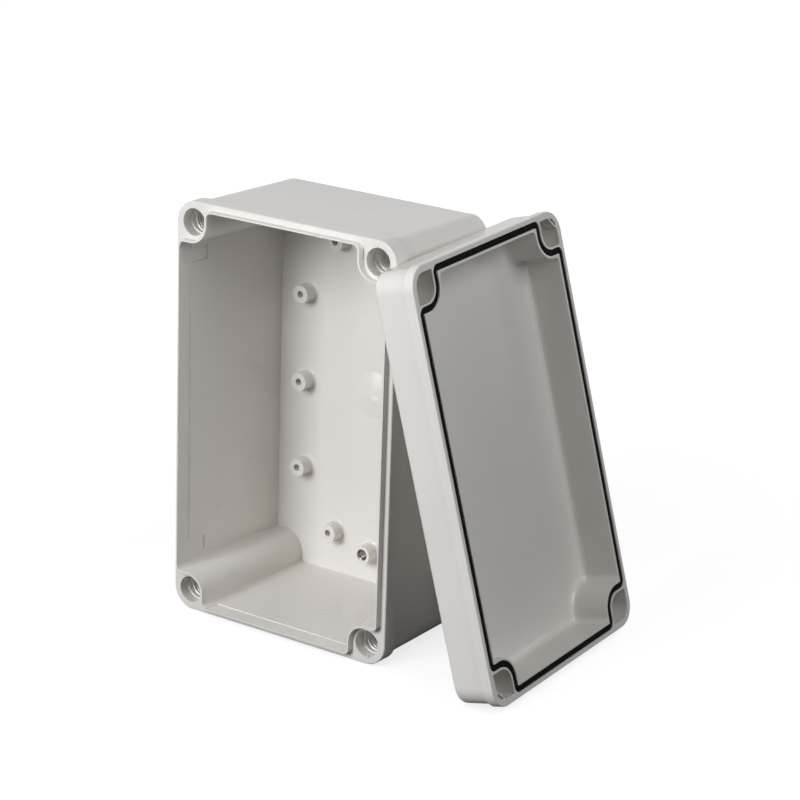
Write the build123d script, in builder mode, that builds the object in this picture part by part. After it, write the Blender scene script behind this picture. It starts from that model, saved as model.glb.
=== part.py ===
"""Waterproof junction box: open base, leaning lid with its gasket, lid screws and inserts.

The base stands on one short side with its opening forward (-Y) and leans back on its
rear edge. The lid leans on the base's right side with its hollow side out. All sizes are
in millimetres, Z is up and the origin is the floor point under the middle of the whole.
"""
from math import atan, cos, degrees, pi, radians, sin, sqrt, tan
import os

from build123d import *

# Outline that base and lid share
width = 173.0
length = 280.0
outline_radius = 14.5
draft = 0.7
slope = tan(radians(draft))
round_steps = 3

# Base
base_depth = 107.0
flange_band = 12.0
flange_proud = 2.0
flange_chamfer = 0.5
rear_round = 3.0
back_wall = 4.0
cavity_inset = 5.4
cavity_depth = base_depth - back_wall
relief_depth = 7.5
relief_step = 0.45
relief_end = 30.0
relief_tab_row = 100.9
relief_tab_width = 9.8
relief_tab_depth = 23.8

# Tongue round the opening, which presses into the gasket
tongue_inset = 3.75
tongue_height = 4.2
tongue_draft = 2.0
seal_reach = 11.45
seal_turn = 4.5

# Screw wells in the corners, outside the seal
screw_inset = 13.8
mouth_radius = 9.0
mouth_depth = 8.0
thread_bore_radius = 8.2
well_floor = 6.0
wall_hole_radius = 2.75

# Bosses on the back wall
boss_radius = 6.1
boss_height = 10.0
boss_hole_radius = 2.35
boss_hole_depth = 9.0
outer_column = 57.0
outer_row = 61.5
inner_column = 29.3
inner_row = 102.6
insert_row = 111.3
insert_radius = 4.0
insert_fit = 0.05
insert_length = 8.0
insert_sink = 0.8
insert_thread_radius = 2.5

# Moulding gate: a low dome inside and a dish outside
dome_radius = 16.3
dome_height = 1.3
dish_radius = 9.0
dish_depth = 0.9

# Lid
lid_depth = 29.8
lid_band = 6.5
lid_proud = 1.6
lid_round = 2.5
rim_chamfer = 0.5
lid_floor = 3.5
lid_corner_round = 4.0
groove_inset = 3.1
groove_width = 4.3
groove_depth = 6.5
lip_width = 1.6
lid_cavity_inset = groove_inset + groove_width + lip_width
pocket_inset = 4.5
pocket_wall = 1.3
pocket_depth = 16.0
web = 4.0
head_well_radius = 9.6
shank_hole_radius = 8.3
crescent_rib = 1.2
crescent_width = 1.3
crescent_depth = 5.0
crescent_half_angle = 34.0

# Gasket
gasket_fit = 0.12
gasket_sink = 0.4

# Lid screw: a large coarse plastic screw
head_radius = 9.2
head_height = 8.0
neck_radius = 6.2
neck_length = web + pocket_depth + mouth_depth
shank_radius = 7.3
screw_length = head_height + web + pocket_depth + mouth_depth + 24.0
slot_width = 2.4
slot_length = 12.0
slot_depth = 4.5

# How the pieces stand
lid_lean = 14.2
lid_overhang = 19.3
lid_gap = 0.3
screw_spacing = 20.5
screw_start = 79.0
screw_off_wall = 6.0

# The base leans back until its rear edge rests on the floor; the lid's top edge
# lies along its side in the same way.
rest_run = base_depth - flange_band - rear_round
lean_back = degrees(atan(flange_proud / rest_run + slope))
yaw = lean_back

front = Plane(
    origin=(
        0,
        length / 2 * sin(radians(lean_back)),
        length / 2 * cos(radians(lean_back)) + flange_band * sin(radians(lean_back)),
    ),
    x_dir=(1, 0, 0),
    z_dir=(0, -cos(radians(lean_back)), sin(radians(lean_back))),
)

# Directions of the leaning lid: across its width, up its length, out of its opening
aside = Vector(cos(radians(yaw)), sin(radians(yaw)), 0)
backward = Vector(-sin(radians(yaw)), cos(radians(yaw)), 0)
upward = aside * -sin(radians(lid_lean)) + Vector(0, 0, cos(radians(lid_lean)))
outward = aside * cos(radians(lid_lean)) + Vector(0, 0, sin(radians(lid_lean)))

# The lid's rounded bottom edge is on the floor and its rounded top edge stands
# lid_gap off the rounded corner of the flange.
face_inset = lid_proud + slope * (lid_depth - lid_band)
arc_inset = face_inset + lid_round * (1 - sin(radians(draft))) / cos(radians(draft))
arc_height = lid_round + (length - 2 * arc_inset) * cos(radians(lid_lean))
corner_height = (length - outline_radius) * cos(radians(lean_back))
arc_reach = outline_radius + lid_round + lid_gap
touch = Vector(
    width / 2 - outline_radius + sqrt(arc_reach**2 - (arc_height - corner_height) ** 2),
    flange_band * cos(radians(lean_back)) + (length - outline_radius) * sin(radians(lean_back)),
    arc_height,
)
lid_corner = touch - upward * (length - arc_inset) - outward * lid_round
lid_corner -= backward * ((lid_corner.Y + lid_overhang) / cos(radians(yaw)))
rim = Plane(
    origin=lid_corner + upward * (length / 2) + backward * (width / 2) + outward * lid_depth,
    x_dir=backward,
    z_dir=outward,
)


def case_outline(inset: float, corner: float) -> Sketch:
    """Outline of the case with rounded corners, brought in by inset all round."""
    with BuildSketch(Plane.XY, mode=Mode.PRIVATE) as shape:
        RectangleRounded(width - 2 * inset, length - 2 * inset, corner)
    return shape.sketch


def seal_area(inset: float, least_turn: float = 0.8) -> Sketch:
    """Area inside the seal line: it runs along the walls and goes round each screw."""
    grown = inset - tongue_inset
    reach = seal_reach + grown
    half_width = width / 2 - inset
    half_length = length / 2 - inset
    with BuildSketch(Plane.XY, mode=Mode.PRIVATE) as shape:
        Rectangle(2 * half_width, 2 * half_length)
        with GridLocations(width, length, 2, 2):
            RectangleRounded(
                2 * (screw_inset + reach), 2 * (screw_inset + reach), reach, mode=Mode.SUBTRACT
            )
        turns = shape.vertices().filter_by(
            lambda v: abs(abs(v.X) - half_width) < 0.01 or abs(abs(v.Y) - half_length) < 0.01
        )
        fillet(turns, radius=max(seal_turn - grown, least_turn))
    return shape.sketch


def wall_line(inset: float, start: float, depth: float, turn: float) -> list[tuple[float, float]]:
    """Inset and depth down a drafted wall that turns into its floor in a quarter round.

    The wall runs from start to depth, and the round has the radius turn.
    """
    line = [(inset, start)]
    for step in range(round_steps + 1):
        angle = pi / 2 * step / round_steps
        down = depth - turn * (1 - sin(angle))
        line.append((inset + slope * (down - start) + turn * (1 - cos(angle)), down))
    return line


# Base: drafted tray with flange, tongue, screw wells and bosses
screw_x = width - 2 * screw_inset
screw_y = length - 2 * screw_inset
boss_face = -(cavity_depth - boss_height)
depth_axis = Axis(front.origin, front.z_dir)

with BuildPart(front) as base:
    for inset, depth in wall_line(flange_proud, flange_band, base_depth, rear_round):
        with BuildSketch(front.offset(-depth)):
            add(case_outline(inset, outline_radius - flange_proud))
    loft(ruled=True)
    with BuildSketch(front):
        add(case_outline(0, outline_radius))
    extrude(amount=-flange_band)
    chamfer(base.faces().sort_by(depth_axis)[-1].edges(), length=flange_chamfer)

    with BuildSketch(front.offset(tongue_height)):
        add(seal_area(tongue_inset + tongue_height * tan(radians(tongue_draft))))
    extrude(amount=-tongue_height, taper=-tongue_draft)
    with BuildSketch(front.offset(tongue_height)):
        add(seal_area(cavity_inset - tongue_height * slope))
    with BuildSketch(front.offset(-cavity_depth)):
        add(seal_area(cavity_inset + cavity_depth * slope))
    loft(ruled=True, mode=Mode.SUBTRACT)

    # Shallow step in the walls behind the tongue, with a deeper tab near each end of the sides
    relief_width = 2 * (width / 2 - cavity_inset + relief_step)
    relief_length = 2 * (length / 2 - cavity_inset + relief_step)
    with BuildSketch(front.offset(tongue_height)):
        Rectangle(relief_width, length - 2 * relief_end)
        Rectangle(width - 2 * relief_end, relief_length)
    extrude(amount=-(tongue_height + relief_depth), mode=Mode.SUBTRACT)
    with BuildSketch(front):
        with GridLocations(0, 2 * relief_tab_row, 1, 2):
            Rectangle(relief_width, relief_tab_width)
    extrude(amount=-relief_tab_depth, mode=Mode.SUBTRACT)

    # Bosses for an inner plate, and two more that carry threaded inserts
    with BuildSketch(front.offset(boss_face)):
        with GridLocations(2 * outer_column, outer_row, 2, 3):
            Circle(boss_radius)
        with GridLocations(2 * inner_column, 2 * inner_row, 2, 2):
            Circle(boss_radius)
        with GridLocations(0, 2 * insert_row, 1, 2):
            Circle(boss_radius)
    extrude(amount=-boss_height)
    with BuildSketch(front.offset(boss_face)):
        with GridLocations(2 * outer_column, outer_row, 2, 3):
            Circle(boss_hole_radius)
        with GridLocations(2 * inner_column, 2 * inner_row, 2, 2):
            Circle(boss_hole_radius)
    extrude(amount=-boss_hole_depth, mode=Mode.SUBTRACT)
    with BuildSketch(front.offset(boss_face)):
        with GridLocations(0, 2 * insert_row, 1, 2):
            Circle(insert_radius + insert_fit)
    extrude(amount=-(insert_sink + insert_length), mode=Mode.SUBTRACT)

    # Screw wells: wide mouth, threaded length and the hole for the wall screw
    with GridLocations(screw_x, screw_y, 2, 2):
        CounterBoreHole(
            radius=thread_bore_radius,
            counter_bore_radius=mouth_radius,
            counter_bore_depth=mouth_depth,
            depth=base_depth - well_floor,
        )
    with BuildSketch(front.offset(-base_depth)):
        with GridLocations(screw_x, screw_y, 2, 2):
            Circle(wall_hole_radius)
    extrude(amount=well_floor + 1, mode=Mode.SUBTRACT)

    # Gate mark: a low dome inside the back wall and a shallow recess outside
    dome_ball = (dome_radius**2 + dome_height**2) / (2 * dome_height)
    with BuildSketch(Plane(front.offset(-cavity_depth).origin, front.x_dir, -front.y_dir)):
        with Locations((0, dome_height - dome_ball)):
            Circle(dome_ball)
        with Locations((0, -dome_ball)):
            Rectangle(2 * dome_ball, 2 * dome_ball, mode=Mode.SUBTRACT)
        with Locations((-dome_ball, 0)):
            Rectangle(2 * dome_ball, 2 * dome_ball, mode=Mode.SUBTRACT)
    revolve(axis=depth_axis)
    with BuildSketch(front.offset(-base_depth)):
        Circle(dish_radius)
    extrude(amount=dish_depth, mode=Mode.SUBTRACT)
base.part.label = "base"

# Threaded inserts pressed into the two middle bosses
insert_bottom = front.offset(boss_face - insert_sink - insert_length)


def insert_at(row: float) -> Part:
    """One brass insert standing on the floor of its boss hole."""
    with BuildPart(mode=Mode.PRIVATE) as piece:
        with BuildSketch(insert_bottom):
            with Locations((0, row)):
                Circle(insert_radius)
                Circle(insert_thread_radius, mode=Mode.SUBTRACT)
        extrude(amount=insert_length)
    return piece.part


insert_top = insert_at(insert_row)
insert_top.label = "insert_top"
insert_low = insert_at(-insert_row)
insert_low.label = "insert_bottom"

# Lid: drafted tray with rim band, gasket groove, corner pockets and head wells
rim_axis = Axis(rim.origin, rim.z_dir)
pocket_edge = screw_inset + seal_reach + (groove_inset - tongue_inset) - pocket_wall

with BuildPart(rim) as lid:
    for inset, depth in wall_line(lid_proud, lid_band, lid_depth, lid_round):
        with BuildSketch(rim.offset(-depth)):
            add(case_outline(inset, outline_radius - lid_proud))
    loft(ruled=True)
    with BuildSketch(rim):
        add(case_outline(0, outline_radius))
    extrude(amount=-lid_band)
    chamfer(lid.faces().sort_by(rim_axis)[-1].edges(), length=rim_chamfer)

    for inset, depth in wall_line(lid_cavity_inset, 0, lid_depth - lid_floor, lid_corner_round):
        with BuildSketch(rim.offset(-depth)):
            add(seal_area(inset, least_turn=0.8 * (screw_inset - inset)))
    loft(ruled=True, mode=Mode.SUBTRACT)

    with BuildSketch(rim):
        add(seal_area(groove_inset))
        add(seal_area(groove_inset + groove_width), mode=Mode.SUBTRACT)
    extrude(amount=-groove_depth, mode=Mode.SUBTRACT)

    # Corner pockets outside the seal, open on the rim side
    with BuildSketch(rim):
        with GridLocations(width, length, 2, 2):
            RectangleRounded(2 * pocket_edge, 2 * pocket_edge, pocket_edge - screw_inset)
        RectangleRounded(
            width - 2 * pocket_inset,
            length - 2 * pocket_inset,
            screw_inset - pocket_inset,
            mode=Mode.INTERSECT,
        )
    extrude(amount=-pocket_depth, mode=Mode.SUBTRACT)

    # Crescent slots in one diagonal pair of corners, beyond a thin arc rib
    crescent_inner = screw_inset - pocket_inset + crescent_rib
    for side in (1, -1):
        heading = 45.0 if side > 0 else 225.0
        with BuildSketch(rim) as crescent:
            with Locations((side * screw_x / 2, side * screw_y / 2)):
                with PolarLocations(
                    crescent_inner + crescent_width / 2, 1, start_angle=heading
                ):
                    SlotArc(
                        CenterArc(
                            (-crescent_inner - crescent_width / 2, 0),
                            crescent_inner + crescent_width / 2,
                            -crescent_half_angle,
                            2 * crescent_half_angle,
                            mode=Mode.PRIVATE,
                        ),
                        crescent_width,
                    )
        extrude(amount=-crescent_depth, mode=Mode.SUBTRACT)

    # Head wells sunk in the outer face, with the hole for the screw's shank
    with BuildSketch(rim.offset(-lid_depth)):
        with GridLocations(screw_x, screw_y, 2, 2):
            Circle(head_well_radius)
    extrude(amount=lid_depth - pocket_depth - web, mode=Mode.SUBTRACT)
    with BuildSketch(rim.offset(-lid_depth)):
        with GridLocations(screw_x, screw_y, 2, 2):
            Circle(shank_hole_radius)
    extrude(amount=lid_depth - pocket_depth + 1, mode=Mode.SUBTRACT)
lid.part.label = "lid"

# Gasket: soft ring on the floor of the groove
with BuildPart(rim) as gasket:
    with BuildSketch(rim.offset(-groove_depth)):
        add(seal_area(groove_inset + gasket_fit))
        add(seal_area(groove_inset + groove_width - gasket_fit), mode=Mode.SUBTRACT)
    extrude(amount=groove_depth - gasket_sink)
gasket.part.label = "lid_gasket"


def lid_screw(number: int) -> Part:
    """One lid screw, stood on its head between the base and the leaning lid."""
    spot = Plane(
        origin=(
            width / 2 + screw_off_wall + head_radius,
            screw_start + number * screw_spacing,
            0,
        )
    )
    with BuildPart(spot, mode=Mode.PRIVATE) as piece:
        with BuildSketch(Plane(spot.origin, spot.x_dir, -spot.y_dir)):
            with BuildLine():
                Polyline(
                    (0, 0),
                    (head_radius, 0),
                    (head_radius, head_height),
                    (neck_radius, head_height),
                    (neck_radius, head_height + neck_length),
                    (shank_radius, head_height + neck_length),
                    (shank_radius, screw_length),
                    (0, screw_length),
                    close=True,
                )
            make_face()
        revolve(axis=Axis(spot.origin, spot.z_dir))
        with BuildSketch(spot):
            Rectangle(slot_length, slot_width)
            Rectangle(slot_width, slot_length)
        extrude(amount=slot_depth, mode=Mode.SUBTRACT)
    piece.part.label = f"lid_screw_{number + 1}"
    return piece.part


pieces = [base.part, lid.part, gasket.part, insert_top, insert_low]
pieces += [lid_screw(number) for number in range(4)]

# The origin goes to the floor under the middle of the whole
bounds = [piece.bounding_box() for piece in pieces]
middle_x = (min(b.min.X for b in bounds) + max(b.max.X for b in bounds)) / 2
middle_y = (min(b.min.Y for b in bounds) + max(b.max.Y for b in bounds)) / 2
lowest = min(b.min.Z for b in bounds)
to_origin = Location((-middle_x, -middle_y, -lowest))

os.makedirs("parts", exist_ok=True)
for piece in pieces:
    piece.move(to_origin)
    export_step(piece, f"parts/{piece.label}.step")
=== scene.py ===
"""Looks of a waterproof junction box: finishes, threads, seal, moulding marks, light and camera."""
import logging
import math
from dataclasses import dataclass, field
from enum import Enum

import bmesh
import bpy
from mathutils import Matrix, Vector


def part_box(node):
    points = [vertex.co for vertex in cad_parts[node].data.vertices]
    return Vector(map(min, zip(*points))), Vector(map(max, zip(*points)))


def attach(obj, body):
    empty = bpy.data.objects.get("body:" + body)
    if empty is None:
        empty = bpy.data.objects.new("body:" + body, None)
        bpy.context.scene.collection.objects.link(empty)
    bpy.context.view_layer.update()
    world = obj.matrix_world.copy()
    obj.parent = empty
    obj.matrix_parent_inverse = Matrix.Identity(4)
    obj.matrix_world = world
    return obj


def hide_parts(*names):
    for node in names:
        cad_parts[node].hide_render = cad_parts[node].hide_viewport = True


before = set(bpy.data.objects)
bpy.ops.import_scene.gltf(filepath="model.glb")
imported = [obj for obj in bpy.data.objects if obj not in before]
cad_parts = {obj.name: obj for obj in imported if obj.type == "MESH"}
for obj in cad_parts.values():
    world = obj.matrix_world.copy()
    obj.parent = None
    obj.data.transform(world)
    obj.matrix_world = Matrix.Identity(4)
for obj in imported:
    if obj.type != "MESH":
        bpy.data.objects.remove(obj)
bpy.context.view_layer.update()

MM = 0.001

logging.basicConfig(level=logging.INFO, format="%(message)s")
log = logging.getLogger("junction_box")

# A section's points give a radius or an inset, and a height
Point = tuple[float, float]
Section = tuple[Point, ...]
Tint = tuple[float, float, float]
Colour = tuple[float, float, float, float]
Socket = bpy.types.NodeSocket
Ring = list[bmesh.types.BMVert]


class Body(Enum):
    """The bodies that pieces ride on."""

    BASE = "box_base"
    LID = "loose_lid"
    SCREW_1 = "screw_1"
    SCREW_2 = "screw_2"
    SCREW_3 = "screw_3"
    SCREW_4 = "screw_4"


class Slot(Enum):
    """The record's material slots."""

    SHELL = "shell"
    SEAL = "seal"
    BRASS = "brass"
    SCREW = "screw_plastic"


class Coarseness(Enum):
    """How many straight steps make a full turn."""

    FLOOR = 64
    PLAIN = 48
    SMALL = 32


class Crease(Enum):
    """The angle in degrees above which an edge of a piece stays sharp."""

    TURNED = 20.0
    MOULDED = 35.0
    SOFT = 50.0
    ROUND = 60.0


class MixSocket(Enum):
    """The colour sockets of the Mix node, whose names its other sockets share."""

    FACTOR = 0
    FIRST = 6
    SECOND = 7
    RESULT = 2


@dataclass(frozen=True)
class Datum:
    """A flat reference on a moulding, in millimetres.

    Args:
        origin: middle of the face.
        right: direction across the face.
        up: direction up the face.
        out: direction out of the face.
    """

    origin: Vector
    right: Vector
    up: Vector
    out: Vector

    def at(self, across: float, along: float, out: float = 0.0) -> Vector:
        """Returns the point in metres that lies so far across, along and out of the face."""
        place = self.origin + self.right * across + self.up * along + self.out * out
        return place * MM

    def moved(self, across: float, along: float, out: float = 0.0) -> "Datum":
        """Returns the same datum with its middle moved along its own directions."""
        return Datum(self.at(across, along, out) / MM, self.right, self.up, self.out)


# The middle of the base's opening, and of the lid's rim, as they stand in the frame
OPENING = Datum(
    Vector((-48.845, -62.099, 140.328)),
    Vector((1.0, 0.0, 0.0)),
    Vector((0.0, 0.0339375, 0.999424)),
    Vector((0.0, -0.999424, 0.0339375)),
)
RIM = Datum(
    Vector((98.668, 0.115, 140.699)),
    Vector((-0.0339375, 0.999424, 0.0)),
    Vector((-0.2451661, -0.0083251, 0.9694453)),
    Vector((0.9688869, 0.0329005, 0.2453074)),
)
# How far above and below the middle of the opening the two inserts stand
INSERT_ROW = 111.3


@dataclass(frozen=True)
class Texture:
    """A noise texture, and the relief that it gives a surface.

    Args:
        scale: its bumps in a metre.
        detail: how many finer layers it has.
        height: height of the relief in metres.
        strength: share of the relief that shows.
    """

    scale: float
    detail: float
    height: float = 0.0
    strength: float = 0.0


@dataclass
class Graph:
    """The node tree of a material or of the world, with short ways to add and join nodes.

    Args:
        owner: the material or world whose tree it is.
        ending: type of its output node, without the ShaderNode prefix.
    """

    owner: bpy.types.Material | bpy.types.World
    ending: str = "OutputMaterial"
    tree: bpy.types.NodeTree = field(init=False)
    output: bpy.types.Node = field(init=False)

    def __post_init__(self) -> None:
        """Starts an empty node tree with its output."""
        self.owner.use_nodes = True
        self.tree = self.owner.node_tree
        self.tree.nodes.clear()
        self.output = self.add(self.ending)

    def add(self, kind: str, **settings: object) -> bpy.types.Node:
        """Adds one node.

        Args:
            kind: node type without its ShaderNode prefix.
            settings: properties, or input values where the name is an input's.

        Returns:
            The new node.
        """
        node = self.tree.nodes.new("ShaderNode" + kind)
        for key, value in settings.items():
            label = key.replace("_", " ")
            if label in node.inputs:
                node.inputs[label].default_value = value
            else:
                setattr(node, key, value)
        return node

    def join(self, source: Socket, target: Socket) -> None:
        """Links one socket to another."""
        self.tree.links.new(source, target)

    def feed(self, value: Socket | float, target: Socket) -> None:
        """Gives an input its value.

        Args:
            value: a socket that is linked, or a constant.
            target: the input.
        """
        if isinstance(value, Socket):
            self.join(value, target)
        else:
            target.default_value = value

    def end(self, shader: bpy.types.Node) -> None:
        """Links a shader to the output."""
        self.join(shader.outputs[0], self.output.inputs["Surface"])

    def place(self) -> Socket:
        """Returns the place on the object, in metres."""
        return self.add("TexCoord").outputs["Object"]

    def noise(self, place: Socket, texture: Texture) -> Socket:
        """Makes a noise texture.

        Args:
            place: where it is looked up.
            texture: how fine it is.

        Returns:
            Its grey value.
        """
        node = self.add("TexNoise", Scale=texture.scale, Detail=texture.detail)
        self.join(place, node.inputs["Vector"])
        return node.outputs["Fac"]

    def spread(self, value: Socket, low: Socket | float, high: float,
               start: float = 0.3, end: float = 0.7) -> Socket:
        """Maps a value from one range to another.

        Args:
            value: the value, by default a noise, which lies mostly between 0.3 and 0.7.
            low: result at the start of the range.
            high: result at the end of the range.
            start: start of the value's range.
            end: end of the value's range.

        Returns:
            The mapped value.
        """
        node = self.add("MapRange")
        self.join(value, node.inputs["Value"])
        limits = {"From Min": start, "From Max": end, "To Min": low, "To Max": high}
        for label, limit in limits.items():
            self.feed(limit, node.inputs[label])
        return node.outputs["Result"]

    def maths(self, operation: str, first: Socket, second: Socket | float) -> Socket:
        """Works out one value from two.

        Args:
            operation: what is done with them.
            first: the first value.
            second: the second value, or a constant.

        Returns:
            The result.
        """
        node = self.add("Math", operation=operation)
        self.join(first, node.inputs[0])
        self.feed(second, node.inputs[1])
        return node.outputs[0]

    def relief(self, height: Socket, texture: Texture, normal: Socket | None = None) -> Socket:
        """Bends a normal by a texture's relief.

        Args:
            height: the texture's value, from 0 to 1.
            texture: how high and strong the relief is.
            normal: the normal that is bent, or None for the surface's own.

        Returns:
            The bent normal.
        """
        node = self.add("Bump", Distance=texture.height, Strength=texture.strength)
        self.join(height, node.inputs["Height"])
        if normal is not None:
            self.join(normal, node.inputs["Normal"])
        return node.outputs["Normal"]

    def blend(self, factor: Socket, first: Colour, second: Colour) -> Socket:
        """Blends two colours.

        Args:
            factor: share of the second colour.
            first: the first colour.
            second: the second colour.

        Returns:
            The blended colour.
        """
        node = self.add("Mix", data_type="RGBA")
        self.join(factor, node.inputs[MixSocket.FACTOR.value])
        node.inputs[MixSocket.FIRST.value].default_value = first
        node.inputs[MixSocket.SECOND.value].default_value = second
        return node.outputs[MixSocket.RESULT.value]

    def matt(self, grey: float) -> bpy.types.Node:
        """Adds a matt shader of that grey."""
        return self.add("BsdfDiffuse", Color=(grey, grey, grey, 1.0))

    def mix(self, factor: Socket, first: bpy.types.Node, second: bpy.types.Node) -> bpy.types.Node:
        """Mixes two shaders.

        Args:
            factor: share of the second shader.
            first: the first shader.
            second: the second shader.

        Returns:
            The shader that mixes them.
        """
        node = self.add("MixShader")
        for index, source in enumerate((factor, first.outputs[0], second.outputs[0])):
            self.join(source, node.inputs[index])
        return node


# Each finish's roughness stays on one side of 0.27 all over, because the denoised render shows
# patches where it crosses that value
@dataclass(frozen=True)
class MouldedPlastic:
    """Injection-moulded plastic: cloudy tone, faint flow waves, spark-eroded grain and soft edges.

    Args:
        name: name of the material.
        light: colour of its lighter clouds.
        deep: colour of its deeper clouds.
        gloss: lowest and highest roughness.
        grain: the spark-eroded grain.
        waves: the flow waves.
        clouds: the clouds of tone.
        sheen: the patches of gloss.
        edge: radius in metres to which sharp edges look rounded.
        index: refractive index.
    """

    name: str
    light: Colour
    deep: Colour
    gloss: Point
    grain: Texture = Texture(2600.0, 2.0, 0.00002, 0.5)
    waves: Texture = Texture(32.0, 1.0, 0.0003, 0.25)
    clouds: Texture = Texture(14.0, 3.0)
    sheen: Texture = Texture(55.0, 4.0)
    edge: float = 0.00025
    index: float = 1.43

    def material(self) -> bpy.types.Material:
        """Builds the material.

        Returns:
            A node material in which every texture is laid out in metres on the object.
        """
        graph = Graph(bpy.data.materials.new(self.name))
        shader = graph.add("BsdfPrincipled", IOR=self.index)
        place = graph.place()
        clouds = graph.spread(graph.noise(place, self.clouds), 0.0, 1.0)
        graph.join(graph.blend(clouds, self.deep, self.light), shader.inputs["Base Color"])
        sheen = graph.spread(graph.noise(place, self.sheen), *self.gloss)
        graph.join(sheen, shader.inputs["Roughness"])
        normal = graph.add("Bevel", Radius=self.edge, samples=4).outputs["Normal"]
        for texture in (self.waves, self.grain):
            normal = graph.relief(graph.noise(place, texture), texture, normal)
        graph.join(normal, shader.inputs["Normal"])
        graph.end(shader)
        return graph.owner


@dataclass(frozen=True)
class FoamRubber:
    """Closed-cell foam rubber: nearly black, matt, with small open cells at its skin, darkened there by
    painted shade.

    Args:
        name: name of the material.
        skin: colour of the skin.
        pore_shade: the darker colour painted in the open cells as their shade.
        gloss: lowest and highest roughness.
        pores: the open cells.
        drift: the slow drift of gloss.
        index: refractive index, low because the broken skin hardly mirrors.
    """

    name: str
    skin: Colour
    pore_shade: Colour
    gloss: Point = (0.62, 0.85)
    pores: Texture = Texture(1900.0, 0.0, 0.00012, 0.6)
    drift: Texture = Texture(240.0, 3.0)
    index: float = 1.1

    def material(self) -> bpy.types.Material:
        """Builds the material.

        Returns:
            A node material with cells and a slower drift of gloss.
        """
        graph = Graph(bpy.data.materials.new(self.name))
        shader = graph.add("BsdfPrincipled", IOR=self.index)
        place = graph.place()
        cells = graph.add("TexVoronoi", Scale=self.pores.scale, Detail=self.pores.detail)
        graph.join(place, cells.inputs["Vector"])
        # Painted shade: the cell mask that also lifts the relief blends the skin towards the darker colour
        depth = graph.spread(cells.outputs["Distance"], 0.0, 1.0, 0.1, 0.7)
        graph.join(graph.blend(depth, self.skin, self.pore_shade), shader.inputs["Base Color"])
        drift = graph.spread(graph.noise(place, self.drift), *self.gloss)
        graph.join(drift, shader.inputs["Roughness"])
        graph.join(graph.relief(depth, self.pores), shader.inputs["Normal"])
        graph.end(shader)
        return graph.owner


@dataclass(frozen=True)
class TurnedBrass:
    """Nickel-plated brass off the lathe: fine turning lines and slightly dulled patches.

    Args:
        name: name of the material.
        bright: colour of the clean metal.
        dull: colour of the dulled patches.
        axis: direction of the lathe's axis.
        gloss: lowest and highest roughness.
        lines: the turning lines.
        patches: the dulled patches.
    """

    name: str
    bright: Colour
    dull: Colour
    axis: Vector
    gloss: Point = (0.14, 0.26)
    lines: Texture = Texture(9000.0, 2.0, 0.00002, 0.5)
    patches: Texture = Texture(420.0, 3.0)

    def material(self) -> bpy.types.Material:
        """Builds the material.

        Returns:
            A node material with its lines running round the axis.
        """
        graph = Graph(bpy.data.materials.new(self.name))
        shader = graph.add("BsdfPrincipled", Metallic=1.0)
        place = graph.place()
        along = graph.add("VectorMath", operation="DOT_PRODUCT")
        graph.join(place, along.inputs[0])
        along.inputs[1].default_value = tuple(self.axis)
        lines = graph.add(
            "TexNoise", noise_dimensions="1D", Scale=self.lines.scale, Detail=self.lines.detail
        )
        graph.join(along.outputs["Value"], lines.inputs["W"])
        patches = graph.spread(graph.noise(place, self.patches), 0.0, 1.0)
        graph.join(graph.blend(patches, self.bright, self.dull), shader.inputs["Base Color"])
        graph.join(graph.spread(patches, *self.gloss, 0.0, 1.0), shader.inputs["Roughness"])
        graph.join(graph.relief(lines.outputs["Fac"], self.lines), shader.inputs["Normal"])
        graph.end(shader)
        return graph.owner


SHELL_GREY = MouldedPlastic(
    "moulded_shell",
    light=(0.775, 0.750, 0.718, 1.0),
    deep=(0.752, 0.724, 0.690, 1.0),
    gloss=(0.13, 0.20),
)
SCREW_GREY = MouldedPlastic(
    "screw_plastic",
    light=(0.66, 0.66, 0.645, 1.0),
    deep=(0.60, 0.60, 0.585, 1.0),
    gloss=(0.34, 0.48),
    grain=Texture(2600.0, 2.0, 0.00003, 0.5),
)
# The seal's darker second colour is painted shade in its open cells
SEAL_FOAM = FoamRubber(
    "seal_foam",
    skin=(0.010, 0.0095, 0.0095, 1.0),
    pore_shade=(0.004, 0.004, 0.004, 1.0),
)
PLATED_BRASS = TurnedBrass(
    "plated_brass",
    bright=(0.46, 0.44, 0.41, 1.0),
    dull=(0.24, 0.215, 0.185, 1.0),
    axis=OPENING.out,
)


@dataclass
class Workshop:
    """Makes mesh pieces and gives each its body, slot and material."""

    materials: dict[Slot, bpy.types.Material] = field(default_factory=dict)

    def __post_init__(self) -> None:
        """Builds one material for each slot."""
        finishes = {
            Slot.SHELL: SHELL_GREY,
            Slot.SCREW: SCREW_GREY,
            Slot.SEAL: SEAL_FOAM,
            Slot.BRASS: PLATED_BRASS,
        }
        for slot, finish in finishes.items():
            self.materials[slot] = finish.material()

    def piece(self, name: str, mesh: bmesh.types.BMesh, body: Body, slot: Slot,
              crease: Crease = Crease.MOULDED) -> bpy.types.Object:
        """Turns a mesh into a named piece that rides on a body.

        Args:
            name: name of the piece.
            mesh: its shape in metres; it is freed.
            body: the body that carries it.
            slot: the material slot that it takes its finish from.
            crease: which of its edges stay sharp.

        Returns:
            The new object.
        """
        bmesh.ops.recalc_face_normals(mesh, faces=mesh.faces)
        data = bpy.data.meshes.new(name)
        mesh.to_mesh(data)
        mesh.free()
        data.shade_smooth()
        data.set_sharp_from_angle(angle=math.radians(crease.value))
        data.materials.append(self.materials[slot])
        thing = bpy.data.objects.new(name, data)
        bpy.context.scene.collection.objects.link(thing)
        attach(thing, body.value)
        log.info("%s: %d faces on %s", name, len(data.polygons), body.value)
        return thing

    def dress(self, node: str, slot: Slot) -> None:
        """Gives a solid of the frame its finish.

        Args:
            node: name of the node.
            slot: slot whose material it gets.
        """
        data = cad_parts[node].data
        data.materials.clear()
        data.materials.append(self.materials[slot])
        log.info("%s dressed with %s", node, slot.value)


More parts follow.
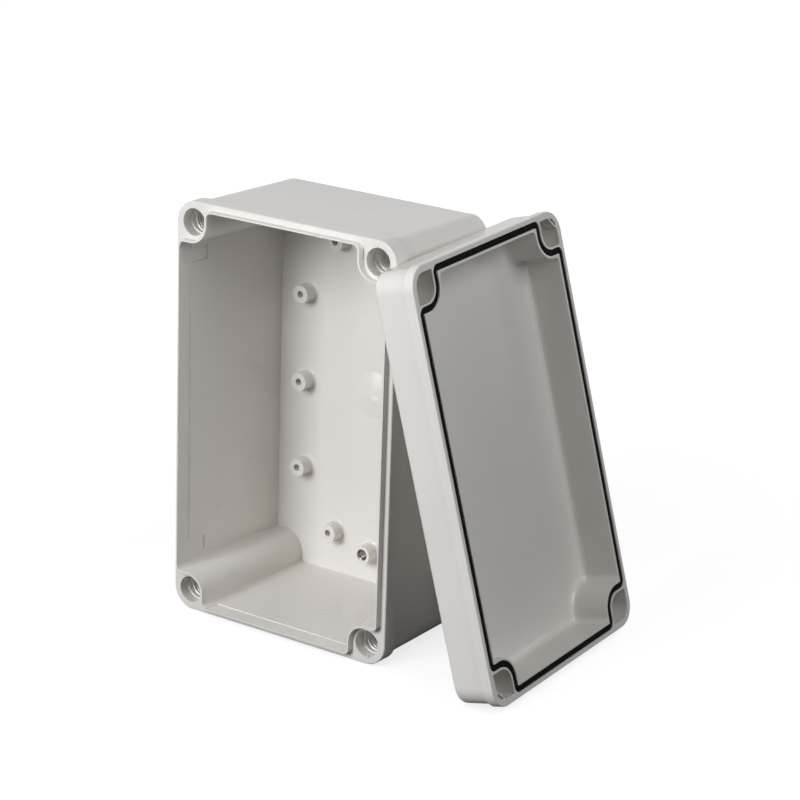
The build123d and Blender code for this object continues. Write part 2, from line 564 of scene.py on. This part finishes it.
def arc(radius: float, start: float, end: float, steps: int, middle: Point = (0.0, 0.0)) -> list[Point]:
    """Lays points on an arc.

    Args:
        radius: its radius.
        start: its first angle in degrees.
        end: its last angle in degrees.
        steps: straight steps between the two.
        middle: its middle.

    Returns:
        The points in order, one more than the steps.
    """
    angles = [math.radians(start + (end - start) * step / steps) for step in range(steps + 1)]
    return [(middle[0] + radius * math.cos(a), middle[1] + radius * math.sin(a)) for a in angles]


def circle(radius: float, steps: Coarseness) -> list[Point]:
    """Returns points evenly round a circle."""
    angles = [2 * math.pi * step / steps.value for step in range(steps.value)]
    return [(radius * math.cos(a), radius * math.sin(a)) for a in angles]


def bridge(mesh: bmesh.types.BMesh, rings: list[Ring]) -> None:
    """Joins closed rings of the same count with four-sided faces.

    Args:
        mesh: the mesh that holds them.
        rings: the rings in order, the first one again at the end where they close.
    """
    for lower, upper in zip(rings, rings[1:]):
        for index in range(len(lower)):
            after = (index + 1) % len(lower)
            mesh.faces.new((lower[index], lower[after], upper[after], upper[index]))


def turn_section(mesh: bmesh.types.BMesh, datum: Datum, section: Section,
                 steps: Coarseness = Coarseness.PLAIN) -> list[Ring]:
    """Turns a section about a datum's out direction.

    Args:
        mesh: the mesh that it is added to.
        datum: middle of the section's zero height.
        section: radius and height of each ring, in millimetres.
        steps: how coarse the rings are.

    Returns:
        The rings, bridged in order.
    """
    rings = []
    for radius, rise in section:
        rings.append([mesh.verts.new(datum.at(x, y, rise)) for x, y in circle(radius, steps)])
    bridge(mesh, rings)
    return rings


@dataclass(frozen=True)
class Thread:
    """A helical ridge on a round wall, inside a bore or outside a shank.

    Args:
        wall: radius of the wall that carries the ridge, in millimetres.
        crest: radius of the ridge's crest.
        pitch: advance of one turn.
        length: length of the threaded run.
        root: width of the ridge at the wall.
        land: width of the ridge between its shoulders and its crest.
        steps: straight steps in a turn.
        sink: how far the ridge's foot goes into the wall.
        fade: share of a turn over which it rises and runs out.
        least: share of its height that is left where it ends.
        shoulder: share of its height at which its shoulders lie.
        shoulder_half: share of the land to either side at the shoulders.
        crest_half: share of the land to either side at the crest.
    """

    wall: float
    crest: float
    pitch: float
    length: float
    root: float
    land: float
    steps: Coarseness = Coarseness.PLAIN
    sink: float = 0.12
    fade: float = 0.2
    least: float = 0.02
    shoulder: float = 0.8
    shoulder_half: float = 0.75
    crest_half: float = 0.3

    def mesh(self, datum: Datum) -> bmesh.types.BMesh:
        """Builds the ridge, running out of the datum and fading at both ends.

        Args:
            datum: start of the run, with its axis along the datum's out direction.

        Returns:
            The mesh of the ridge.
        """
        mesh = bmesh.new()
        count = int(self.length / self.pitch * self.steps.value)
        faded = self.fade * self.steps.value
        rows = []
        for step in range(count + 1):
            angle = 2 * math.pi * step / self.steps.value
            height = self.pitch * step / self.steps.value
            share = max(min(1.0, step / faded, (count - step) / faded), self.least)
            row = []
            for radius, rise in self.section(share):
                place = datum.at(radius * math.cos(angle), radius * math.sin(angle), height + rise)
                row.append(mesh.verts.new(place))
            rows.append(row)
        bridge(mesh, rows)
        mesh.faces.new(rows[0])
        mesh.faces.new(rows[-1])
        return mesh

    def section(self, share: float) -> Section:
        """Works out the ridge's section where it has a share of its full height.

        Args:
            share: the share.

        Returns:
            Radius and place along the axis of each point, from foot to foot.
        """
        tall = self.crest - self.wall
        half = (
            (self.wall + math.copysign(self.sink, -tall), self.root / 2),
            (self.wall + tall * self.shoulder * share, self.land * self.shoulder_half),
            (self.wall + tall * share, self.land * self.crest_half),
        )
        return tuple((radius, -rise) for radius, rise in half) + half[::-1]


@dataclass(frozen=True)
class SealLine:
    """The line that tongue and gasket follow: along the walls and round each corner screw.

    Args:
        width: outer width of the case, in millimetres.
        length: outer length of the case.
        screw_inset: distance of a screw's axis from both outer sides.
        tongue_inset: distance of the tongue's outer side from the case's.
        reach: radius of the turn round a screw at the tongue.
        reach_steps: straight steps in that turn.
        turn: radius where the detour leaves the wall, at the tongue.
        turn_steps: straight steps in that radius.
        least_turn: the smallest that it gets.
    """

    width: float = 173.0
    length: float = 280.0
    screw_inset: float = 13.8
    tongue_inset: float = 3.75
    reach: float = 11.45
    reach_steps: int = 14
    turn: float = 4.5
    turn_steps: int = 6
    least_turn: float = 0.8

    def screw(self) -> Point:
        """Returns how far across and along the case a screw stands from the middle."""
        return self.width / 2 - self.screw_inset, self.length / 2 - self.screw_inset

    def outline(self, inset: float) -> list[Point]:
        """Returns the closed line, brought in by inset, as points in order.

        Args:
            inset: distance from the outer side of the case.

        Returns:
            Points across and along the case, the same number for every inset.
        """
        grown = inset - self.tongue_inset
        reach = self.reach + grown
        turn = max(self.turn - grown, self.least_turn)
        side, end = self.width / 2 - inset, self.length / 2 - inset
        across, along = self.screw()
        quarter = arc(turn, 0.0, 90.0, self.turn_steps, (side - turn, along - reach - turn))
        quarter += arc(reach, 270.0, 180.0, self.reach_steps, (across, along))
        quarter += arc(turn, 0.0, 90.0, self.turn_steps, (across - reach - turn, end - turn))
        points = list(quarter)
        points += [(-x, y) for x, y in reversed(quarter)]
        points += [(-x, -y) for x, y in quarter]
        points += [(x, -y) for x, y in reversed(quarter)]
        return points


@dataclass(frozen=True)
class RingMark:
    """The faint round print that an ejector pin leaves on a moulded wall.

    Args:
        radius: radius of the print, in millimetres.
        height: how far its lip stands off the wall.
        sink: how far the lip's feet go into the wall.
    """

    radius: float = 3.0
    height: float = 0.13
    sink: float = 0.05

    def mesh(self, datum: Datum) -> bmesh.types.BMesh:
        """Builds a low rounded lip around the print.

        Args:
            datum: middle of the print on the wall.

        Returns:
            The mesh of the lip.
        """
        lip = ((-0.35, -self.sink), (-0.12, self.height), (0.05, self.height), (0.25, -self.sink))
        mesh = bmesh.new()
        turn_section(mesh, datum, [(self.radius + off, rise) for off, rise in lip])
        return mesh


@dataclass
class CaseBase:
    """The base tray with the threads in its screw wells and the marks of its mould.

    Places and depths are in millimetres from the middle of the opening, and a section gives
    radius and height of each of its rings.

    Args:
        workshop: makes and dresses the pieces.
        line: gives the case's outer size and its screws' places.
        thread: the thread in each screw well.
        thread_end: depth of the thread's inner end.
        draft: slope of the inner walls in degrees.
        wall: distance of the inner walls from the outer sides, at the opening.
        side_marks: depth and height above the case's end of each print on the left wall.
        floor_marks: place across and depth of each print on the bottom wall.
        side_boss: place of a boss near a side; another stands there in the middle row.
        end_boss: place of a boss near an end.
        back: depth of the back wall.
        boss_foot: section of the fillet round a boss's foot.
        dish: depth of the gate's dish in the outer back.
        stub: section of the gate's stub.
        print_place: place of the oval print on the flange.
        print_section: size and height of the oval print's rings.
        print_shape: half width, lean and half length of the oval print.
    """

    workshop: Workshop
    line: SealLine = SealLine()
    thread: Thread = Thread(wall=8.2, crest=7.35, pitch=2.5, length=45.4, root=1.5, land=0.4)
    thread_end: float = 56.0
    draft: float = 0.7
    wall: float = 5.4
    side_marks: Section = ((71.0, 211.0), (72.0, 149.5), (72.0, 88.0), (38.0, 62.0))
    floor_marks: Section = ((7.5, 42.0), (5.0, 54.0), (25.0, 57.0))
    side_boss: Point = (57.0, 61.5)
    end_boss: Point = (29.3, 102.6)
    back: float = 103.0
    boss_foot: Section = (
        (6.0, 1.5), (6.13, 1.5), (6.24, 0.92), (6.6, 0.42), (7.1, 0.12), (7.6, 0.02), (7.6, -0.1),
    )
    dish: float = 106.1
    stub: Section = ((2.2, -0.1), (1.9, 0.15), (1.3, 0.35), (1.1, 0.6), (0.6, 0.72), (0.05, 0.68))
    print_place: Point = (73.8, -135.0)
    print_section: Section = ((1.0, -0.05), (0.85, 0.35), (0.6, 0.55), (0.05, 0.6))
    print_shape: tuple[float, float, float] = (0.55, -0.6, 1.5)

    def build(self) -> None:
        """Dresses the tray and adds its wells' threads, mould marks and gate stub."""
        self.workshop.dress("base", Slot.SHELL)
        self.well_threads()
        self.ejector_marks()
        self.boss_feet()
        self.gate_stub()
        self.flange_mark()

    def well_threads(self) -> None:
        """Winds a coarse thread in each of the four corner wells."""
        across, along = self.line.screw()
        for row, y in (("top", along), ("bottom", -along)):
            for side, x in (("left", -across), ("right", across)):
                mesh = self.thread.mesh(OPENING.moved(x, y, -self.thread_end))
                name = f"well_thread_{row}_{side}"
                self.workshop.piece(name, mesh, Body.BASE, Slot.SHELL, Crease.ROUND)

    def ejector_marks(self) -> None:
        """Puts the ejector pins' prints on the inner left and bottom walls."""
        mark = RingMark()
        slope = math.tan(math.radians(self.draft))
        for number, (depth, height) in enumerate(self.side_marks, 1):
            wall = -(self.line.width / 2 - self.wall) + slope * depth
            place = OPENING.moved(wall, height - self.line.length / 2, -depth)
            side = Datum(place.origin, OPENING.out, OPENING.up, OPENING.right)
            self.workshop.piece(f"ejector_mark_side_{number}", mark.mesh(side), Body.BASE, Slot.SHELL)
        for number, (across, depth) in enumerate(self.floor_marks, 1):
            wall = -(self.line.length / 2 - self.wall) + slope * depth
            place = OPENING.moved(across, wall, -depth)
            floor = Datum(place.origin, OPENING.right, OPENING.out, OPENING.up)
            self.workshop.piece(f"ejector_mark_floor_{number}", mark.mesh(floor), Body.BASE, Slot.SHELL)

    def boss_feet(self) -> None:
        """Rounds the foot of each boss into the back wall, as the mould leaves it."""
        side, row = self.side_boss
        near, end = self.end_boss
        spots = [(x, y) for x in (-side, side) for y in (-row, 0.0, row)]
        spots += [(x, y) for x in (-near, near) for y in (-end, end)]
        spots += [(0.0, -INSERT_ROW), (0.0, INSERT_ROW)]
        mesh = bmesh.new()
        for x, y in spots:
            turn_section(mesh, OPENING.moved(x, y, -self.back), self.boss_foot)
        self.workshop.piece("boss_feet", mesh, Body.BASE, Slot.SHELL, Crease.ROUND)

    def gate_stub(self) -> None:
        """Leaves the short torn stub of the gate in the dish of the outer back."""
        mesh = bmesh.new()
        foot = OPENING.moved(0.0, 0.0, -self.dish)
        back = Datum(foot.origin, -OPENING.right, OPENING.up, -OPENING.out)
        mesh.faces.new(turn_section(mesh, back, self.stub, Coarseness.SMALL)[-1])
        self.workshop.piece("gate_stub", mesh, Body.BASE, Slot.SHELL)

    def flange_mark(self) -> None:
        """Leaves the small oval print near the flange's lower right corner."""
        mesh = bmesh.new()
        spot = OPENING.moved(*self.print_place)
        wide, lean, long = self.print_shape
        rings = []
        for size, rise in self.print_section:
            points = circle(size, Coarseness.SMALL)
            rings.append([mesh.verts.new(spot.at(wide * x + lean * y, long * y, rise)) for x, y in points])
        bridge(mesh, rings)
        mesh.faces.new(rings[-1])
        self.workshop.piece("flange_mark", mesh, Body.BASE, Slot.SHELL)


@dataclass
class CaseLid:
    """The lid tray that leans on the base, with the seal in its groove.

    Heights are in millimetres from the rim, out of the lid.

    Args:
        workshop: makes and dresses the pieces.
        line: the line that the seal follows.
        seal_outer: inset of the seal's outer side.
        seal_inner: inset of the seal's inner side.
        seal_foot: height of the seal's foot, down in the groove.
        seal_crown: distance from its side and height of the points that round its top.
        seal_top: height of the seal's top.
        tab_arcs: radius, first and last angle in degrees and steps of a tab's foot, of its back,
            which leaves a crescent gap to the pocket's wall, and of its other foot.
        tab_nose: place of the tab's nose, from the screw's axis.
        tab_rises: heights of the tab's top and of its lower end.
    """

    workshop: Workshop
    line: SealLine = SealLine()
    seal_outer: float = 3.22
    seal_inner: float = 7.28
    seal_foot: float = -6.5
    seal_crown: Section = ((0.0, -1.2), (0.1, -0.8), (0.4, -0.54), (1.1, -0.42))
    seal_top: float = -0.4
    tab_arcs: tuple[tuple[float, float, float, int], ...] = (
        (9.4, 88.0, 69.0, 3), (7.7, 66.0, 24.0, 8), (9.4, 21.0, 2.0, 3),
    )
    tab_nose: Point = (4.55, 4.55)
    tab_rises: Point = (-0.05, -5.0)

    def build(self) -> None:
        """Dresses the tray, lays the seal and adds the tabs that keep two screws captive."""
        self.workshop.dress("lid", Slot.SHELL)
        self.seal()
        self.screw_tabs()

    def seal(self) -> None:
        """Lays the foam seal as one ring with a soft crowned top."""
        outer, inner = self.seal_outer, self.seal_inner
        section = [(outer, self.seal_foot)]
        section += [(outer + off, rise) for off, rise in self.seal_crown]
        section.append(((outer + inner) / 2, self.seal_top))
        section += [(inner - off, rise) for off, rise in reversed(self.seal_crown)]
        section.append((inner, self.seal_foot))
        mesh = bmesh.new()
        rings = []
        for inset, rise in section:
            rings.append([mesh.verts.new(RIM.at(x, y, rise)) for x, y in self.line.outline(inset)])
        bridge(mesh, rings + [rings[0]])
        seal = self.workshop.piece("lid_seal_ring", mesh, Body.LID, Slot.SEAL, Crease.SOFT)
        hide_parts("lid_gasket")

    def screw_tabs(self) -> None:
        """Puts a pointed tab with a crescent gap behind it into one diagonal pair of pockets."""
        outline = [point for part in self.tab_arcs for point in arc(*part)] + [self.tab_nose]
        across, along = self.line.screw()
        for name, side in (("far_top", 1.0), ("near_bottom", -1.0)):
            pocket = RIM.moved(side * across, side * along)
            mesh = bmesh.new()
            rings = []
            for rise in self.tab_rises:
                rings.append([mesh.verts.new(pocket.at(side * x, side * y, rise)) for x, y in outline])
                mesh.faces.new(rings[-1])
            bridge(mesh, rings)
            self.workshop.piece(f"screw_tab_{name}", mesh, Body.LID, Slot.SHELL)


@dataclass
class Inserts:
    """The two plated brass inserts: a sleeve with a countersunk mouth, and the thread inside it.

    Args:
        workshop: makes and dresses the pieces.
        thread: the thread, whose wall is the sleeve's bore.
        thread_start: height of the thread's start above the sleeve's foot, in millimetres.
        depth: depth of the sleeve's face behind the opening.
        length: length of the sleeve.
        radius: outer radius of the sleeve.
        rim: offset from the outer radius and height of the points round its face.
        throat: offset from the bore and height of the points where the mouth ends.
    """

    workshop: Workshop
    thread: Thread = Thread(
        wall=2.95, crest=2.5, pitch=1.0, length=6.1, root=0.9, land=0.2, steps=Coarseness.SMALL, sink=0.05
    )
    thread_start: float = 0.5
    depth: float = 93.8
    length: float = 8.0
    radius: float = 4.0
    rim: Section = ((0.0, -0.2), (-0.2, 0.0), (-0.45, 0.0), (-0.6, -0.08))
    throat: Section = ((0.05, -1.15), (0.0, -1.3))

    def build(self) -> None:
        """Puts a sleeve and its thread in place of each insert's plain solid."""
        for node, row in (("insert_top", INSERT_ROW), ("insert_bottom", -INSERT_ROW)):
            seat = OPENING.moved(0.0, row, -self.depth)
            mesh = self.sleeve(seat)
            sleeve = self.workshop.piece(f"{node}_sleeve", mesh, Body.BASE, Slot.BRASS, Crease.TURNED)
            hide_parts(node)
            mesh = self.thread.mesh(seat.moved(0.0, 0.0, self.thread_start - self.length))
            self.workshop.piece(f"{node}_thread", mesh, Body.BASE, Slot.BRASS, Crease.SOFT)

    def sleeve(self, seat: Datum) -> bmesh.types.BMesh:
        """Turns the sleeve's section about its axis.

        Args:
            seat: datum on the insert's top face, out of its mouth.

        Returns:
            The mesh of the sleeve.
        """
        bore = self.thread.wall
        section = [(bore, -self.length), (self.radius, -self.length)]
        section += [(self.radius + off, rise) for off, rise in self.rim]
        section += [(bore + off, rise) for off, rise in self.throat]
        mesh = bmesh.new()
        rings = turn_section(mesh, seat, section)
        bridge(mesh, [rings[-1], rings[0]])
        return mesh


@dataclass
class LidScrews:
    """The four coarse screws that stand on their heads between the base and the leaning lid.

    Args:
        workshop: makes and dresses the pieces.
        thread: the thread on each shank.
        thread_start: height of the thread's start above the screw's foot, in millimetres.
    """

    workshop: Workshop
    thread: Thread = Thread(wall=7.3, crest=8.05, pitch=2.5, length=20.0, root=1.9, land=0.7)
    thread_start: float = 38.0

    def build(self) -> None:
        """Dresses each screw and winds its thread."""
        for number, body in enumerate((Body.SCREW_1, Body.SCREW_2, Body.SCREW_3, Body.SCREW_4), 1):
            node = f"lid_screw_{number}"
            self.workshop.dress(node, Slot.SCREW)
            low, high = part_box(node)
            foot = Vector(((low[0] + high[0]) / 2, (low[1] + high[1]) / 2, low[2])) / MM
            axis = Datum(foot, Vector((1, 0, 0)), Vector((0, 1, 0)), Vector((0, 0, 1)))
            mesh = self.thread.mesh(axis.moved(0.0, 0.0, self.thread_start))
            self.workshop.piece(f"{node}_thread", mesh, body, Slot.SCREW, Crease.ROUND)


@dataclass(frozen=True)
class Softbox:
    """A rectangular soft lamp that faces the middle of the box.

    Args:
        name: name of the lamp.
        azimuth: degrees that it stands round to the right of the front.
        height: degrees that it stands above the middle of the box.
        distance: how far it stands off, in metres.
        size: width and height in metres.
        watts: its power.
        tint: colour of its light.
        aim: height in metres of the middle of the box.
    """

    name: str
    azimuth: float
    height: float
    distance: float
    size: Point
    watts: float
    tint: Tint = (0.98, 0.99, 1.0)
    aim: float = 0.14

    def build(self) -> None:
        """Hangs the lamp."""
        turn, rise = math.radians(self.azimuth), math.radians(self.height)
        level = math.cos(rise)
        away = Vector((math.sin(turn) * level, -math.cos(turn) * level, math.sin(rise)))
        data = bpy.data.lights.new(self.name, "AREA")
        data.shape = "RECTANGLE"
        data.size, data.size_y = self.size
        data.energy = self.watts
        data.color = self.tint
        lamp = bpy.data.objects.new(self.name, data)
        turned = (-away).to_track_quat("-Z", "Y").to_matrix().to_4x4()
        place = Vector((0.0, 0.0, self.aim)) + away * self.distance
        lamp.matrix_world = Matrix.Translation(place) @ turned
        bpy.context.scene.collection.objects.link(lamp)
        log.info("%s: %.1f W", self.name, self.watts)


# The low lamp stands where the dome on the base's back wall mirrors it into the camera
LAMPS = (
    Softbox("key_light", azimuth=-12.0, height=25.5, distance=1.55, size=(0.6, 0.85), watts=21.5),
    Softbox("low_light", azimuth=-36.3, height=-5.5, distance=0.79, size=(0.085, 0.085), watts=0.2),
    Softbox("side_light", azimuth=80.0, height=37.0, distance=1.60, size=(1.0, 1.0), watts=11.0),
    Softbox("left_light", azimuth=258.0, height=15.0, distance=1.80, size=(1.3, 0.8), watts=4.0),
    Softbox("rear_light", azimuth=183.0, height=9.0, distance=1.80, size=(1.2, 0.7), watts=10.0),
)


@dataclass
class Studio:
    """White floor, plain soft light and a white surround.

    Args:
        ambient: how strongly light falls from the surround.
        ambient_tint: colour of that light.
        near_white: how white the floor is by itself close to the box, where its shadow shows.
        near: distance in metres from the middle up to which it is so.
        far: distance from which it is quite white.
        lit_white: how much whiter lamps make the floor.
        bounce: grey of the floor as it throws light back.
        mirrored: share of the floor's white that glossy surfaces mirror.
        contact: reach in metres of the shade where the box stands on the floor.
        contact_full: open share from which the floor has no such shade.
        contact_least: how white the camera still sees it in the deepest shade.
        floor_radii: inner and outer radius of the floor in metres.
        floor_drop: how far it lies under the box's foot, in metres.
    """

    ambient: float = 0.02
    ambient_tint: Colour = (1.0, 0.95, 0.89, 1.0)
    near_white: float = 0.92
    near: float = 0.22
    far: float = 0.75
    lit_white: float = 0.14
    bounce: float = 0.06
    mirrored: float = 0.35
    # contact: reach in metres of the painted shade, from ambient occlusion, that dims the floor's glow
    # where the box stands.
    contact: float = 0.12
    # contact_full: open share from which the floor has no such painted shade.
    contact_full: float = 0.5
    # contact_least: how white the camera still sees it in the deepest painted shade; what glossy surfaces
    # mirror can lose all its glow there.
    contact_least: float = 0.85
    floor_radii: Point = (0.6, 6.0)
    floor_drop: float = 0.0001

    def build(self) -> None:
        """Sets up floor, surround and lamps."""
        self.floor()
        self.surround()
        for lamp in LAMPS:
            lamp.build()

    def floor(self) -> None:
        """Lays a large floor that looks white and keeps a faint shadow, partly from the lamps and partly
        painted shade close to the box.
        """
        mesh = bmesh.new()
        rings = []
        for radius in self.floor_radii:
            points = circle(radius, Coarseness.FLOOR)
            rings.append([mesh.verts.new((x, y, -self.floor_drop)) for x, y in points])
        bridge(mesh, rings)
        mesh.faces.new(rings[0])
        data = bpy.data.meshes.new("studio_floor")
        mesh.to_mesh(data)
        mesh.free()
        data.materials.append(self.floor_white())
        floor = bpy.data.objects.new("studio_floor", data)
        bpy.context.scene.collection.objects.link(floor)

    def floor_white(self) -> bpy.types.Material:
        """Builds the floor's material.

        Returns:
            A material that glows white and takes light from the lamps where it is looked at,
            and is a dim grey where other surfaces gather light from it; painted shade from
            ambient occlusion dims its glow close to the box.
        """
        graph = Graph(bpy.data.materials.new("floor_white"))
        plain = graph.matt(self.bounce)
        lit = graph.matt(self.lit_white)
        away = graph.add("VectorMath", operation="LENGTH")
        graph.join(graph.place(), away.inputs[0])
        ground = graph.spread(away.outputs["Value"], self.near_white, 1.0, self.near, self.far)
        # Painted shade: ambient occlusion dims the floor's glow close to the box, a little for the camera
        # and fully in what glossy surfaces mirror
        occlusion = graph.add("AmbientOcclusion", Distance=self.contact, samples=8)
        looked_at = graph.add("LightPath").outputs["Is Camera Ray"]
        least = graph.maths("MULTIPLY", looked_at, self.contact_least)
        shade = graph.spread(occlusion.outputs["AO"], least, 1.0, 0.0, self.contact_full)
        white = graph.add("Emission")
        graph.join(graph.maths("MULTIPLY", ground, shade), white.inputs["Strength"])
        pale = graph.add("AddShader")
        graph.join(lit.outputs[0], pale.inputs[0])
        graph.join(white.outputs[0], pale.inputs[1])
        graph.end(graph.mix(self.seen(graph, self.mirrored), plain, pale))
        return graph.owner

    @staticmethod
    def seen(graph: Graph, mirrored: float) -> Socket:
        """Returns how much a ray looks at a thing, rather than gathers its light.

        Args:
            graph: graph of the thing.
            mirrored: the share for rays that come off a glossy surface.

        Returns:
            1 for the camera's rays and those through clear things, the share for mirrored rays
            and 0 for the others.
        """
        path = graph.add("LightPath")
        total = path.outputs["Is Camera Ray"]
        for name, share in (("Is Glossy Ray", mirrored), ("Is Transmission Ray", 1.0)):
            part = graph.maths("MULTIPLY", path.outputs[name], share)
            total = graph.maths("MAXIMUM", total, part)
        return total

    def surround(self) -> None:
        """Makes the surround white to look at and dim as light."""
        world = bpy.data.worlds.new("surround")
        bpy.context.scene.world = world
        graph = Graph(world, "OutputWorld")
        light = graph.add("Background", Strength=self.ambient, Color=self.ambient_tint)
        white = graph.add("Background", Color=(1.0, 1.0, 1.0, 1.0))
        graph.end(graph.mix(self.seen(graph, 1.0), light, white))


@dataclass(frozen=True)
class View:
    """The camera at the photograph's place.

    Args:
        place: where it stands, in metres.
        azimuth: degrees that it stands round to the right of the front.
        height: degrees that it looks down.
        roll: degrees that it is turned about its own axis.
        lens: focal length in millimetres.
        sensor: width of its sensor in millimetres.
    """

    place: Vector
    azimuth: float
    height: float
    roll: float
    lens: float
    sensor: float = 36.0

    def build(self) -> None:
        """Sets up the camera."""
        turn, tip, roll = (math.radians(a) for a in (self.azimuth, self.height, self.roll))
        ahead = Vector((
            -math.sin(turn) * math.cos(tip), math.cos(turn) * math.cos(tip), -math.sin(tip)
        ))
        level = ahead.cross(Vector((0, 0, 1))).normalized()
        rise = level.cross(ahead)
        right = level * math.cos(roll) + rise * math.sin(roll)
        up = rise * math.cos(roll) - level * math.sin(roll)
        data = bpy.data.cameras.new("photo_camera")
        data.sensor_fit = "HORIZONTAL"
        data.sensor_width = self.sensor
        data.lens = self.lens
        camera = bpy.data.objects.new("photo_camera", data)
        axes = Matrix((right, up, -ahead)).transposed().to_4x4()
        camera.matrix_world = Matrix.Translation(self.place) @ axes
        bpy.context.scene.collection.objects.link(camera)
        bpy.context.scene.camera = camera


PHOTO_VIEW = View(
    Vector((0.968962, -1.369064, 0.750151)), azimuth=35.277, height=19.515, roll=0.730, lens=124.144
)


def main() -> None:
    """Builds the box's looks piece by piece, then the studio and the camera."""
    bpy.context.scene.view_settings.view_transform = "Standard"
    PHOTO_VIEW.build()
    workshop = Workshop()
    for assembly in (CaseBase(workshop), CaseLid(workshop), Inserts(workshop), LidScrews(workshop)):
        assembly.build()
        log.info("%s built", type(assembly).__name__)
    Studio().build()


if __name__ == "__main__":
    main()
